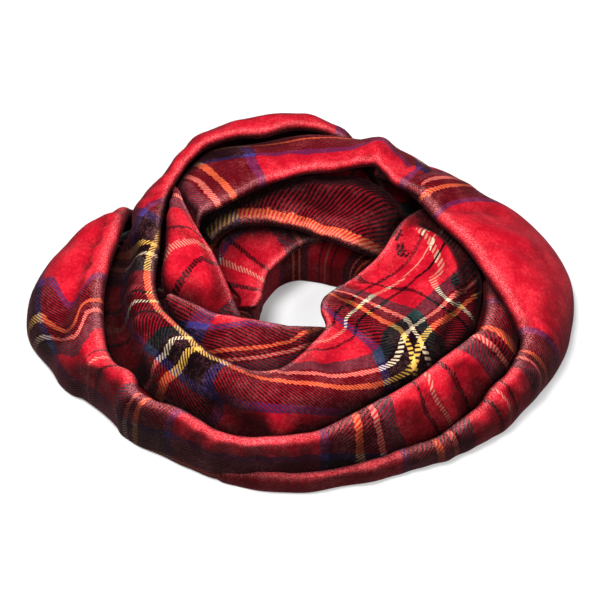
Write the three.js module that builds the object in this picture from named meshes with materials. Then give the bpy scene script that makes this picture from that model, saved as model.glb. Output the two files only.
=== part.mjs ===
// An infinity scarf of plush cloth, wound twice into a ring and laid on a table.
// Millimetres, +Z up. Every place is given round the neck hole: a bearing in degrees, turning from +X
// towards +Y, a reach outwards from the hole's centre, and a height above the table.
import * as THREE from 'three';

// Driving sizes
const clothThick = 3;         // the tube of plush lies flat, so a wall is two plies
const seamGap = 0.3;          // between the stretches of one turn
const underHeight = 30;       // the hidden layers that everything lies on
const underRound = 11;        // how round their top edges are
const holeCentreX = -0.2;     // the neck hole's centre, from the middle of the ring
const holeCentreY = -16.6;
const sectionPitch = 13;      // mm of scarf between two sections
const rollSteps = 5;          // facets round a lapped edge
const rollTop = rollSteps + 1; // the point of a section on top of its rolled rim
const faceSteps = 9;          // facets across a face
const tightBend = 0.5;        // the least radius inside a rolled rim
const underCloth = 1;         // the least room between a tucked edge and the face beside it
const edgeClear = 0.1;        // keeps neighbouring points of a section apart
const crownPlace = 0.45;      // how far across the face the crown lifts it

// Each row is one section across a stretch. The rim is its inner, lapped edge and the hem its outer one.
// crown lifts the face behind the rim, swell pushes it out beyond the hem, and lift is how far above
// the hem it starts to fall.
const sectionColumns = ['rimAt', 'rimReach', 'rimUp', 'hemAt', 'hemReach', 'hemUp', 'crown', 'swell', 'lift'];

const outerTurn = {
  back_band: [
    [152, 82, 40, 147, 106, 37, 1, 1, 4],
    [147, 85, 47, 141, 114, 40, 1, 1, 5],
    [140, 89, 58, 135, 126, 42, 1, 2, 8],
    [130, 84, 62, 127, 137, 43, 1, 1, 7],
    [117, 83, 64, 117, 146, 44, 1, 1, 3],
    [104, 86, 65, 104, 143, 44, 1, 1, 3],
    [90, 91, 66, 91, 146, 44, 2, 1, 3],
    [82, 94, 66, 83, 150, 38, 2, 2, 8],
    [76, 96, 67, 77, 154, 22, 2, 4, 26],
    [70, 100, 67.5, 72, 158, 0, 2, 7, 48],
    [62, 106, 68, 66, 160, 0, 1, 8, 50],
    [54, 102, 68, 60, 159, 0, 1, 8, 48],
    [48, 98, 68, 55, 156, 0, 1, 8, 46],
  ],
  right_lobe: [
    [48, 98, 68, 55, 162, 0, 1, 8, 46],
    [38, 108, 66, 47, 171, 0, 0, 8, 40],
    [27, 109, 63, 39, 178, 0, 0, 9, 34],
    [15, 118, 60, 30, 186, 0, -1, 9, 30],
    [6, 125, 58, 20, 194, 0, -1, 9, 26],
    [359, 132, 56, 11, 197, 0, -1, 8, 24],
    [355, 139, 53, 3, 193, 0, -1, 7, 22],
    [350.5, 147, 47, 356, 187, 0, -1, 6, 20],
    [345.4, 156, 39, 349, 180, 0, -1, 6, 18],
    [340, 155.5, 36, 342, 172, 0, 0, 5, 18],
    [335, 153.5, 33, 335, 166, 0, 0, 5, 16],
  ],
  front_edge: [
    [335, 153.5, 33, 335, 166, 0, 0, 5, 16],
    [330, 148.5, 30, 330, 162, 0, 0, 5, 15],
    [324, 147.5, 26, 324, 157.5, 0, 0, 5, 13],
    [317, 143, 22, 317, 151.5, 0, 0, 5, 11],
    [310, 140, 18, 310, 146, 0, 0, 5, 10],
    [301, 135.5, 16, 301, 141, 0, 0, 5, 9],
    [292, 134, 15, 292, 138.5, 0, 0, 5, 8],
    [282, 133, 14, 282, 138, 0, 0, 4, 8],
    [272, 134, 13, 272, 140, 0, 0, 4, 7],
    [263, 134, 13, 263, 140, 0, 0, 4, 7],
    [253, 134.8, 12, 253, 139.5, 0, 0, 3, 7],
  ],
  front_band: [
    [5, 129, 40, 8, 143, 31, 0, 2, 5],
    [358, 128, 43.5, 0, 144, 31, 0, 3, 6],
    [351, 129, 45.5, 352, 150, 28, 0, 3, 9],
    [343.5, 128, 46, 344.5, 152, 12, 1, 3, 18],
    [337, 122, 47, 337, 152, 0, 1, 1, 22],
    [326, 112, 49, 327, 148, 0, 1, 0, 16],
    [312, 109, 50, 313, 141, 0, 1, 0, 12],
    [299, 109, 50, 300, 135, 0, 1, 0, 10],
    [287, 110, 49, 287, 133, 0, 1, 0, 10],
    [277, 116, 49, 277, 133, 0, 1, 0, 10],
    [270, 118.5, 49, 270, 133.5, 0, 1, 0, 10],
    [262, 121.5, 49, 262, 133.5, 0, 1, 0, 10],
    [255, 124, 49, 254, 133.5, 0, 1, 0, 11],
    [246, 129, 48, 245, 135, 0, 0, 3, 18],
    [240, 126, 47, 239, 136, 0, 0, 5, 22],
    [232, 124, 46, 231, 138, 0, 1, 5, 22],
    [224, 131, 45, 223, 141, 0, 0, 5, 22],
  ],
  left_lobe: [
    [224, 131, 45, 223, 141, 0, 0, 5, 22],
    [219, 134, 46, 217, 144, 0, 0, 5, 22],
    [214, 132.5, 46, 211, 150, 0, 1, 6, 22],
    [208, 136.5, 46, 204, 158, 0, 1, 6, 22],
    [202, 139.5, 46, 197, 168, 0, 1, 7, 22],
    [193, 138, 47, 189, 180, 0, 1, 8, 20],
    [184, 136, 48, 181, 193, 0, 1, 8, 22],
    [174, 135, 48, 172, 191, 0, 1, 8, 24],
    [164, 136, 46, 163, 183, 0, 1, 8, 24],
    [155, 140, 43, 156, 173, 0, 0, 7, 24],
    [150, 145, 38, 151, 166, 0, 0, 6, 22],
    [147.5, 150, 30, 148, 160, 0, 0, 4, 16],
  ],
};

const innerTurn = {
  right_roll: [
    [41, 118, 45, 34, 128, 38, 0, 1, 3],
    [40, 97, 50, 24, 127, 37, 0, 1, 12],
    [36, 81, 53, 16, 126, 36, 0, 1, 17],
    [28, 65, 53, 9, 126, 34, 1, 1, 20],
    [20, 51, 52, 1, 125, 33.5, 2, 1, 22],
    [10, 35, 49, 353, 123, 33.5, 3, 0, 24],
    [358, 23, 47, 344, 121, 33.5, 3, 0, 26],
    [331, 17.5, 46, 335, 117, 33.5, 3, 0, 28],
    [304, 25, 49, 325, 110, 33.5, 3, 0, 30],
    [295, 40, 50, 312, 107, 33.5, 3, 0, 32],
    [277, 54, 52, 296, 107.5, 33.5, 4, -2, 33],
    [265, 70, 54, 280, 112, 33.5, 9, -7, 28],
    [257, 80, 56, 264, 121, 33.5, 9, -8, 20],
  ],
  front_roll: [
    [257, 80, 56, 264, 121, 33.5, 9, -8, 20],
    [249, 86, 59, 253, 127, 33.5, 4, -6, 12],
    [241, 88, 61, 243, 129, 33.5, 1, -3, 8],
    [228, 89, 60, 229, 128, 33.5, 1, -5, 5],
    [215, 88, 58, 215, 131, 33.5, 1, -6, 4],
  ],
  left_roll: [
    [215, 88, 58, 215, 131, 33.5, 1, -6, 4],
    [203, 92, 57, 203, 136, 33.5, 2, -10, 2],
    [193, 96, 55, 193, 137, 33.5, 3, -12, 1],
    [182, 98.5, 54, 182, 137, 33.5, 4, -13, 1],
    [172, 99.5, 53, 172, 137, 33.5, 5, -13, 1],
    [162, 102, 53, 162, 136, 33.5, 5, -10, 2],
    [153, 109, 53, 153, 133, 33.5, 4, 1, 20],
    [147, 114, 54, 146.5, 142, 16, 3, 4, 34],
    [142, 119, 55, 142, 148, 0, 2, 4, 44],
    [137, 124, 56, 137, 149, 0, 1, 5, 46],
  ],
  back_edge: [
    [137, 124, 56, 137, 149, 0, 1, 5, 46],
    [131, 130, 57, 131, 150, 0, 1, 6, 46],
    [125, 136, 58, 125, 156, 0, 1, 6, 46],
    [118, 142, 58, 118, 167, 0, 1, 7, 46],
    [109, 143, 58, 109, 171, 0, 1, 7, 46],
    [101, 139, 58, 102, 174, 0, 1, 7, 46],
    [94, 143, 58, 94, 174, 0, 1, 7, 46],
    [88, 145, 57, 88, 172, 0, 1, 7, 44],
    [82, 148, 54, 82, 171, 0, 1, 6, 40],
    [77, 153, 48, 77, 171, 0, 0, 5, 34],
    [73, 158, 38, 73, 170, 0, 0, 4, 26],
    [70, 162, 24, 70, 169, 0, 0, 2, 14],
  ],
  inner_left: [
    [138.5, 112, 62, 137, 120, 59, 1, 0, 1],
    [142, 100, 61, 143, 115, 57, 2, 0, 3],
    [150, 80, 60, 151, 106, 50, 3, 1, 10],
    [155, 67, 54, 159, 100, 46, 6, 1, 16],
    [161, 59, 50, 166, 97, 44, 8, 1, 18],
    [168, 53, 47, 174, 95, 43, 9, 1, 18],
    [178, 48, 44, 181, 92, 41, 6, 1, 12],
    [187, 45, 40, 189, 84, 38, 2, 0, 4],
    [196, 43.5, 38, 197, 78, 36, 0, 0, 1],
    [205, 43, 37.7, 206, 66, 35, 0, 0, 0],
  ],
  inner_front: [
    [187, 88, 55, 190, 94, 46, 0, 1, 4],
    [191, 81, 55, 198, 92, 45, 0, 1, 5],
    [197, 71, 53, 208, 90, 44, 0, 1, 5],
    [204, 61, 50, 219, 88, 43, 0, 1, 4],
    [213, 47, 47, 231, 88, 42, 0, 1, 3],
    [234, 34, 44, 246, 86, 41, 0, 1, 2],
    [253, 30, 42, 258, 82, 40, 0, 1, 2],
    [270, 28.5, 41, 270, 76, 38, 0, 0, 1],
    [289, 28.5, 39, 285, 68, 36, 0, 0, 1],
    [303, 32, 38, 298, 62, 35, 0, 0, 1],
  ],
  back_roll: [
    [30, 68, 39.6, 36, 98, 38, 0, 0, 0],
    [37, 61, 41, 44, 103, 40, 1, 0, 2],
    [48, 52, 47, 54, 107, 46, 2, 0, 4],
    [62, 48.5, 49, 66, 108, 48, 2, 0, 4],
    [76, 48.6, 49, 78, 105, 49, 2, 0, 4],
    [90, 53.5, 49, 90, 100, 49, 2, 0, 4],
    [109, 63, 48, 107, 94, 48, 2, 0, 4],
    [125, 72.5, 47, 122, 94, 46, 1, 0, 3],
    [136, 77, 44, 133, 98, 42, 0, 0, 2],
    [142, 78, 40, 139, 98, 37, 0, 0, 1],
  ],
  back_inner_fold: [
    [72, 57, 36, 84, 74, 36, 0, 0, 0],
    [90, 47, 37, 100, 76, 36, 0, 0, 0],
    [113, 36, 36, 118, 78, 36, 0, 0, 0],
    [134, 32, 35, 137, 76, 35, 0, 0, 0],
    [158, 27, 34, 158, 60, 35, 0, 0, 0],
    [178, 26.5, 34, 177, 42, 34, 0, 0, 0],
    [192, 31, 34, 190, 43, 34, 0, 0, 0],
  ],
};

const edgeRoll = {radius: 4.5, tuck: 8};
const rolls = {
  front_band: {radius: 4.5, tuck: 3},
  front_edge: {radius: 3.6, tuck: 0, filled: true},
  inner_left: {radius: 3.6, tuck: 5},
  inner_front: {radius: 3.8, tuck: 5},
  back_roll: {radius: 4.5, tuck: 6},
  back_inner_fold: {radius: 3, tuck: 3},
};

// Soft folds on the faces, each along a line seen from above: a ridge where rise is above nought, and
// a trough where it is below. Width is how far it reaches to each side.
const foldColumns = ['stretches', 'fromAt', 'fromReach', 'toAt', 'toReach', 'width', 'rise'];
const foldRows = [
  ['left_roll front_roll', 200, 110, 262, 109, 9, 3],
  ['front_roll', 240, 112, 258, 118, 7, -2.5],
  ['back_roll', 80, 90, 52, 97, 9, 3],
  ['back_roll', 84, 78, 51, 78, 7, -3],
  ['right_roll', 356, 71, 14, 108, 11, 4],
  ['right_roll', 353, 80, 4, 102, 9, -3],
  ['right_lobe', 37, 116, 25, 156, 12, -4],
  ['right_lobe', 18, 130, 353, 166, 18, 4],
  ['left_lobe', 185, 145, 206, 150, 12, 4],
  ['left_lobe', 181, 166, 208, 156, 10, -3],
  ['inner_left', 145, 92, 190, 62, 8, 2],
];

// The ring of hidden layers: its inner and outer reach all the way round.
const underColumns = ['at', 'inner', 'outer'];
const underRows = [
  [0, 28, 168],
  [14, 40, 182],
  [30, 46, 172],
  [46, 49, 158],
  [62, 46, 150],
  [78, 45, 150],
  [94, 45, 160],
  [110, 42, 160],
  [126, 37, 148],
  [140, 34, 140],
  [147, 32, 130],
  [154, 31, 142],
  [162, 30, 160],
  [174, 29.5, 176],
  [186, 32, 172],
  [198, 38, 160],
  [214, 44, 139],
  [230, 42, 134],
  [246, 37, 124],
  [262, 33, 121],
  [278, 31, 120],
  [294, 29, 121],
  [310, 27, 124],
  [326, 22.5, 131],
  [340, 22, 135],
  [350, 24, 146],
];

const colours = {
  outer: 0xa31720,
  inner: 0x7c1420,
  hidden: 0x3a0b12,
};

const radians = (degrees) => degrees * Math.PI / 180;

// A smooth value through evenly spaced values, by a Catmull-Rom curve
function smoothAt(values, place, closed) {
  const count = values.length;
  const index = Math.min(Math.floor(place), closed ? count - 1 : count - 2);
  const f = place - index;
  const value = (k) => closed
    ? values[((k % count) + count) % count]
    : values[Math.max(0, Math.min(count - 1, k))];
  const [a, b, c, d] = [-1, 0, 1, 2].map((k) => value(index + k));
  return b + 0.5 * f * (c - a + f * (2 * a - 5 * b + 4 * c - d + f * (3 * (b - c) + d - a)));
}

// Bearings that pass 360 are made to run on, so that they can be smoothed
function runOn(bearings) {
  const out = [bearings[0]];
  for (const bearing of bearings.slice(1)) {
    const last = out[out.length - 1];
    out.push(last + ((((bearing - last) % 360) + 540) % 360) - 180);
  }
  return out;
}

function tableOf(columns, rows) {
  const table = {};
  columns.forEach((name, k) => {
    table[name] = rows.map((row) => row[k]);
  });
  return table;
}

const plan = (at, reach) => new THREE.Vector2(Math.cos(radians(at)) * reach, Math.sin(radians(at)) * reach);

const folds = foldRows.map((row) => {
  const fold = Object.fromEntries(foldColumns.map((name, k) => [name, row[k]]));
  return {...fold, from: plan(fold.fromAt, fold.fromReach), to: plan(fold.toAt, fold.toReach)};
});

// How much the folds of a stretch raise it at a place seen from above
function foldRise(stretch, spot) {
  let rise = 0;
  for (const fold of folds.filter((f) => f.stretches.includes(stretch))) {
    const run = fold.to.clone().sub(fold.from);
    const along = spot.clone().sub(fold.from).dot(run) / run.lengthSq();
    const nearest = fold.from.clone().addScaledVector(run, Math.min(1, Math.max(0, along)));
    rise += fold.rise * Math.exp(-((spot.distanceTo(nearest) / fold.width) ** 2));
  }
  return rise;
}

function sectionTable(rows) {
  const table = tableOf(sectionColumns, rows);
  const rim = runOn(table.rimAt);
  const hem = runOn(table.hemAt);
  const turns = Math.round((rim[0] - hem[0]) / 360) * 360;
  table.rimPlan = rim.map((at, k) => plan(at, table.rimReach[k]));
  table.hemPlan = hem.map((at, k) => plan(at + turns, table.hemReach[k]));
  return table;
}

// The section at one place along a stretch: where its rim and hem are and how its face runs
function sectionAt(table, place) {
  const value = (name) => smoothAt(table[name], place);
  const point = (name) => new THREE.Vector2(
    smoothAt(table[name].map((p) => p.x), place),
    smoothAt(table[name].map((p) => p.y), place),
  );
  const rim = point('rimPlan');
  const out = point('hemPlan').sub(rim);
  const span = out.length();
  out.normalize();
  return {
    rim, out, span,
    rimUp: value('rimUp'), hemUp: Math.max(0, value('hemUp')),
    crown: value('crown'), swell: value('swell'), lift: value('lift'),
  };
}

// The bearing of a facet of the rolled rim, from straight down, round the inside, to straight up
const rollTurn = (k) => Math.PI * (1.5 - k / rollSteps);

// The outer side of the cloth in its section plane: back under the rim, round it, and over the face.
// The face is one cubic curve from the top of the rolled rim to the hem.
function outerLine(section, roll, stretch) {
  const {span, rimUp, hemUp, crown, swell, lift} = section;
  const line = [[roll.radius + roll.tuck, rimUp - 2 * roll.radius]];
  for (let k = 0; k <= rollSteps; k++) {
    const turn = rollTurn(k);
    line.push([roll.radius * (1 + Math.cos(turn)), rimUp - roll.radius + roll.radius * Math.sin(turn)]);
  }
  const start = [roll.radius, rimUp];
  const first = [roll.radius + crownPlace * (span - roll.radius), rimUp + crown];
  const second = [span + swell, hemUp + lift];
  const end = [span, hemUp];
  for (let k = 1; k <= faceSteps; k++) {
    const t = k / faceSteps;
    const s = 1 - t;
    const mix = (c) => s ** 3 * start[c] + 3 * s * s * t * first[c] + 3 * s * t * t * second[c] + t ** 3 * end[c];
    line.push([mix(0), mix(1)]);
  }
  for (let k = rollTop + 1; k < line.length - 1; k++) {
    const run = new THREE.Vector2(line[k + 1][0] - line[k - 1][0], line[k + 1][1] - line[k - 1][1]).normalize();
    const rise = foldRise(stretch, section.rim.clone().addScaledVector(section.out, line[k][0]));
    line[k] = [line[k][0] - rise * run.y, line[k][1] + rise * run.x];
  }
  return line;
}

// The inner side of the cloth: a smaller half circle round the rim, and then the face moved in by the
// cloth's thickness. It never turns back towards the rim, so it doesn't cross itself.
function innerLine(line, section, roll) {
  const bend = Math.max(tightBend, roll.radius - clothThick);
  const inner = line.map(([s, z], k) => {
    if (k <= rollTop) {
      const turn = rollTurn(Math.max(0, k - 1));
      return [roll.radius + bend * Math.cos(turn), section.rimUp - roll.radius + bend * Math.sin(turn)];
    }
    const before = line[k - 1];
    const after = line[Math.min(line.length - 1, k + 1)];
    const run = [after[0] - before[0], after[1] - before[1]];
    const length = Math.hypot(run[0], run[1]);
    return [s + clothThick * run[1] / length, Math.max(0, z - clothThick * run[0] / length)];
  });
  for (let k = rollTop + 1; k < inner.length; k++) {
    inner[k][0] = Math.max(inner[k][0], inner[k - 1][0] + edgeClear);
  }
  return inner;
}

// The tucked edge ends where the inner side of the face leaves room for it
function tuckUnder(outer, inner, roll) {
  const up = inner[1][1];
  const below = inner.findIndex(([, z], k) => k > rollTop && z < up);
  let room = Infinity;
  if (below > 0) {
    const [s0, z0] = inner[below - 1];
    const [s1, z1] = inner[below];
    room = s0 + (s1 - s0) * (z0 - up) / (z0 - z1);
  }
  const end = Math.max(roll.radius + edgeClear, Math.min(roll.radius + roll.tuck, room - underCloth));
  outer[0] = [end, outer[1][1]];
  inner[0] = [end, up];
}

// A narrow hem is folded up tight, with cloth all the way through. Its back runs round the rolled rim
// and down to a foot on the table.
function filledSides(section, roll, stretch) {
  const outer = outerLine(section, roll, stretch).slice(rollTop);
  const foot = Math.min(roll.radius, section.span / 2);
  const bends = Math.ceil(faceSteps / 2);
  const rollUp = section.rimUp - roll.radius;
  const inner = outer.map((_, k) => {
    if (k < bends) {
      const turn = Math.PI / 2 * (1 + (k + 1) / bends);
      return [roll.radius * (1 + Math.cos(turn)), rollUp + roll.radius * Math.sin(turn)];
    }
    const down = (k + 1 - bends) / (faceSteps + 1 - bends);
    return [foot * down, rollUp * (1 - down)];
  });
  return {outer, inner};
}

function clothSides(section, roll, stretch) {
  if (roll.filled) return filledSides(section, roll, stretch);
  const outer = outerLine(section, roll, stretch);
  const inner = innerLine(outer, section, roll);
  tuckUnder(outer, inner, roll);
  return {outer, inner};
}

// A closed solid from rings of points: the rings are joined in order and the two ends are capped
// between the outer and the inner side of the wall.
function wallGeometry(rings) {
  const across = rings[0].outer.length;
  const around = 2 * across;
  const positions = [];
  for (const ring of rings) {
    for (const p of [...ring.outer, ...ring.inner.slice().reverse()]) positions.push(p.x, p.y, p.z);
  }
  const index = [];
  const quad = (a, b, c, d) => index.push(a, b, c, a, c, d);
  for (let k = 0; k + 1 < rings.length; k++) {
    for (let j = 0; j < around; j++) {
      const next = (j + 1) % around;
      quad(k * around + j, (k + 1) * around + j, (k + 1) * around + next, k * around + next);
    }
  }
  const last = (rings.length - 1) * around;
  for (let j = 0; j + 1 < across; j++) {
    const back = around - 1 - j;
    quad(j, j + 1, back - 1, back);
    quad(last + j + 1, last + j, last + back, last + back - 1);
  }
  const geometry = new THREE.BufferGeometry();
  geometry.setAttribute('position', new THREE.Float32BufferAttribute(positions, 3));
  geometry.setIndex(index);
  return geometry;
}

// Turns every face over if the solid is inside out
function facingOut(geometry) {
  const p = geometry.getAttribute('position');
  const index = geometry.getIndex().array;
  const [a, b, c] = [new THREE.Vector3(), new THREE.Vector3(), new THREE.Vector3()];
  let volume = 0;
  for (let k = 0; k < index.length; k += 3) {
    a.fromBufferAttribute(p, index[k]);
    b.fromBufferAttribute(p, index[k + 1]);
    c.fromBufferAttribute(p, index[k + 2]);
    volume += a.dot(b.cross(c));
  }
  if (volume < 0) {
    for (let k = 0; k < index.length; k += 3) [index[k], index[k + 1]] = [index[k + 1], index[k]];
  }
  geometry.computeVertexNormals();
  return geometry;
}

function stretchGeometry(name, rows) {
  const roll = rolls[name] ?? edgeRoll;
  const table = sectionTable(rows);
  const last = rows.length - 1;
  let length = 0;
  for (let k = 0; k < last; k++) {
    const steps = ['rimPlan', 'hemPlan'].map((edge) => table[edge][k].distanceTo(table[edge][k + 1]));
    length += Math.max(...steps);
  }
  const count = Math.round(length / sectionPitch);
  const step = last / count;
  const trim = (seamGap / 2) * last / length;
  const rings = [];
  for (let k = 0; k <= count; k++) {
    const section = sectionAt(table, Math.min(last - trim, Math.max(trim, k * step)));
    const sides = clothSides(section, roll, name);
    const place = ([s, z]) => new THREE.Vector3(section.rim.x + section.out.x * s, section.rim.y + section.out.y * s, z);
    rings.push({outer: sides.outer.map(place), inner: sides.inner.map(place)});
  }
  return facingOut(wallGeometry(rings));
}

// The hidden layers: a ring with a flat underside and rounded top edges
function underGeometry() {
  const table = tableOf(underColumns, underRows);
  const bearings = runOn(table.at);
  bearings.push(bearings[0] + 360);
  const steps = 72;
  const corner = 3;
  const positions = [];
  let around = 0;
  for (let k = 0; k < steps; k++) {
    const place = (k / steps) * underRows.length;
    const whole = Math.floor(place);
    const at = bearings[whole] + (place - whole) * (bearings[whole + 1] - bearings[whole]);
    const [inner, outer] = ['inner', 'outer'].map((name) => smoothAt(table[name], place, true));
    const profile = [[inner, 0]];
    for (let j = 0; j <= corner; j++) {
      const turn = Math.PI * (1 - 0.5 * j / corner);
      profile.push([inner + underRound * (1 + Math.cos(turn)), underHeight - underRound * (1 - Math.sin(turn))]);
    }
    for (let j = 0; j <= corner; j++) {
      const turn = Math.PI * 0.5 * (1 - j / corner);
      profile.push([outer - underRound * (1 - Math.cos(turn)), underHeight - underRound * (1 - Math.sin(turn))]);
    }
    profile.push([outer, 0]);
    around = profile.length;
    for (const [reach, up] of profile) {
      const p = plan(at, reach);
      positions.push(p.x, p.y, up);
    }
  }
  const index = [];
  for (let k = 0; k < steps; k++) {
    const next = (k + 1) % steps;
    for (let j = 0; j < around; j++) {
      const side = (j + 1) % around;
      index.push(k * around + j, next * around + j, next * around + side);
      index.push(k * around + j, next * around + side, k * around + side);
    }
  }
  const geometry = new THREE.BufferGeometry();
  geometry.setAttribute('position', new THREE.Float32BufferAttribute(positions, 3));
  geometry.setIndex(index);
  return facingOut(geometry);
}

function plush(colour) {
  return new THREE.MeshStandardMaterial({color: colour, roughness: 0.9, metalness: 0});
}

function named(name, geometry, colour) {
  const mesh = new THREE.Mesh(geometry, plush(colour));
  mesh.name = name;
  return mesh;
}

const scarf = new THREE.Group();
scarf.position.set(holeCentreX, holeCentreY, 0);
for (const [name, rows] of Object.entries(outerTurn)) {
  scarf.add(named(name, stretchGeometry(name, rows), colours.outer));
}
for (const [name, rows] of Object.entries(innerTurn)) {
  scarf.add(named(name, stretchGeometry(name, rows), colours.inner));
}
scarf.add(named('hidden_layers', underGeometry(), colours.hidden));

export default scarf;
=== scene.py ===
# %% [markdown]
# An infinity scarf is one long loop of cloth. This one is a flat tube of soft tartan plush, wound
# twice round and laid on a table like a nest. The CAD model gives its turns as plain walls. Here each
# turn is made again with finer folds, a rolled edge, a nap and the woven pattern.

# %% Load the fixed frame
import math

import bpy
import numpy as np
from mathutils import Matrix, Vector


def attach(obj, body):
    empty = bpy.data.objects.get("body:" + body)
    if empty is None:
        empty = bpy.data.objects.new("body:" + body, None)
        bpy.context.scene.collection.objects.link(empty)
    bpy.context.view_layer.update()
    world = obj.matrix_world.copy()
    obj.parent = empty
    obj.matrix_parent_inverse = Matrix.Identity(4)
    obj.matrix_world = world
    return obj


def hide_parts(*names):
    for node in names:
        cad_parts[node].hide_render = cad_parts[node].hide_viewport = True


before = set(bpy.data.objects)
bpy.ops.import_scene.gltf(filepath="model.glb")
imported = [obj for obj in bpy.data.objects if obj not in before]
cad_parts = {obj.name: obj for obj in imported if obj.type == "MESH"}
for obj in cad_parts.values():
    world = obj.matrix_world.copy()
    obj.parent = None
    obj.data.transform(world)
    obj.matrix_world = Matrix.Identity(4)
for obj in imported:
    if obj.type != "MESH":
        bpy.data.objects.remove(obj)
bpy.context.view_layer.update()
MM = 0.001
HOLE = np.array([-0.2, -16.6, 0.0])
rng = np.random.default_rng(11)

# %% [markdown]
# The camera comes first, because every place was found through it. It looks down at 50 degrees with a
# long lens, so that the far side of the ring is hardly smaller than the near side.

# %% The camera
TARGET = (HOLE + (0.0, 1.1, 30.9)) * MM
ELEVATION = math.radians(50)
DISTANCE = 1.38


def aimed(thing, place, target):
    """Puts a light or camera at a place and turns its own -Z towards the target."""
    aim = bpy.data.objects.new(thing.name, thing)
    aim.location = place
    aim.rotation_euler = (Vector(target) - Vector(place)).to_track_quat("-Z", "Y").to_euler()
    bpy.context.scene.collection.objects.link(aim)
    return aim


lens = bpy.data.cameras.new("camera")
lens.lens = 120
lens.sensor_width = 36
back = np.array([0.0, -math.cos(ELEVATION), math.sin(ELEVATION)])
camera = aimed(lens, tuple(TARGET + DISTANCE * back), tuple(TARGET))
bpy.context.scene.camera = camera
print("camera at", [round(c, 3) for c in camera.location])

# %% [markdown]
# A turn of the scarf is a ribbon that lies over what is under it. In each cross section the cloth
# starts tucked away under itself, rolls over at the rim, and then falls outwards to the hem. Modelling
# this by pulling points would be slow. A table of sections is quick to read and to change, and smooth
# curves run through its rows. Places are given round the neck hole: a bearing in degrees, a reach in
# millimetres from the hole's centre, and a height above the table.

# %% Smooth curves through a table
def smooth(values, place):
    """Catmull-Rom curve: a cubic between two rows that passes both, and whose slope at each row is
    half the difference of that row's two neighbours."""
    last = len(values) - 1
    row = np.minimum(np.floor(place).astype(int), last - 1)
    f = place - row
    if values.ndim > 1:
        f = f[:, None]
    a, b, c, d = (values[np.clip(row + k, 0, last)] for k in (-1, 0, 1, 2))
    return b + 0.5 * f * (c - a + f * (2 * a - 5 * b + 4 * c - d + f * (3 * (b - c) + d - a)))


def plan(at, reach):
    """x = reach times the cosine of the bearing, y = reach times its sine."""
    turn = np.radians(at)
    return np.stack([np.cos(turn) * reach, np.sin(turn) * reach], axis=-1)


def run_on(bearings):
    """Makes bearings that pass 360 run on, so that they can be smoothed."""
    return np.degrees(np.unwrap(np.radians(bearings)))


def softened(values, reach):
    """The moving average of a row of values over reach places to each side, with both ends run on."""
    padded = np.pad(values, reach, "reflect", reflect_type="odd")
    return np.convolve(padded, np.ones(2 * reach + 1) / (2 * reach + 1), "valid")


print("halfway between 2 and 4:", smooth(np.array([1.0, 2.0, 4.0, 5.0]), np.array([1.5]))[0])

# %% The cross section of a lapped ribbon
CLOTH = 3.0
STEP = 2.0


def section_lines(table, roll, tuck, across):
    """Places of the cloth's outer side, as an array of sections by points by x, y, z.
    In a section's own plane the line runs straight back under the rim, round an arc of radius
    roll, and down one cubic Bezier curve from the top of the rim to the hem. The arc is half a
    circle on a wide ribbon. On a narrow one it is shorter, so that its start stays inside."""
    rim_at = run_on(table[:, 0])
    hem_at = run_on(table[:, 3])
    hem_at = hem_at + 360 * np.round((rim_at[0] - hem_at[0]) / 360)
    rim, hem = plan(rim_at, table[:, 1]), plan(hem_at, table[:, 4])
    steps = [np.linalg.norm(np.diff(edge, axis=0), axis=1) for edge in (rim, hem)]
    count = int(np.maximum(*steps).sum() / STEP) + 1
    place = np.linspace(0, len(table) - 1, count)
    rim, hem = smooth(rim, place), smooth(hem, place)
    up, hem_up, crown, swell, lift = (smooth(table[:, k], place)[:, None] for k in (2, 5, 6, 7, 8))
    hem_up = np.maximum(hem_up, 0)
    out = hem - rim
    span = np.linalg.norm(out, axis=1)[:, None]
    out = out / span
    tucked = np.clip(span - roll - 2 * CLOTH - 1, 0, tuck) * np.linspace(1, 0, 5)[None, :-1]
    start = np.interp(span, [10, 16], [1.15, 1.5])
    turn = np.pi * (start + (0.5 - start) * np.linspace(0, 1, 9)[None, :])
    arc, arc_up = roll * (1 + np.cos(turn)), up - roll + roll * np.sin(turn)
    t = np.linspace(0, 1, across)[None, 1:]
    weights = (1 - t) ** 3, 3 * t * (1 - t) ** 2, 3 * t * t * (1 - t), t ** 3
    reaches = roll, roll + 0.45 * (span - roll), span + swell, span
    heights = up, up + crown, hem_up + lift, hem_up
    s = np.hstack([arc[:, :1] + tucked, arc, sum(w * r for w, r in zip(weights, reaches))])
    z = np.hstack([arc_up[:, :1] + 0 * tucked, arc_up, sum(w * h for w, h in zip(weights, heights))])
    xy = rim[:, None, :] + out[:, None, :] * s[:, :, None]
    crest = tucked.shape[1] + turn.shape[1] - 1
    return np.dstack([xy, z]), crest, smooth(rim_at, place)


def along_normals(points):
    """Unit normals of a grid: the cross product of its two directions. They point up at the top of
    each section."""
    normal = np.cross(np.gradient(points, axis=0), np.gradient(points, axis=1))
    normal /= np.linalg.norm(normal, axis=2)[:, :, None] + 1e-12
    top = points[:, :, 2].argmax(axis=1)
    upward = normal[np.arange(len(points)), top, 2].mean()
    return normal if upward > 0 else -normal
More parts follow.
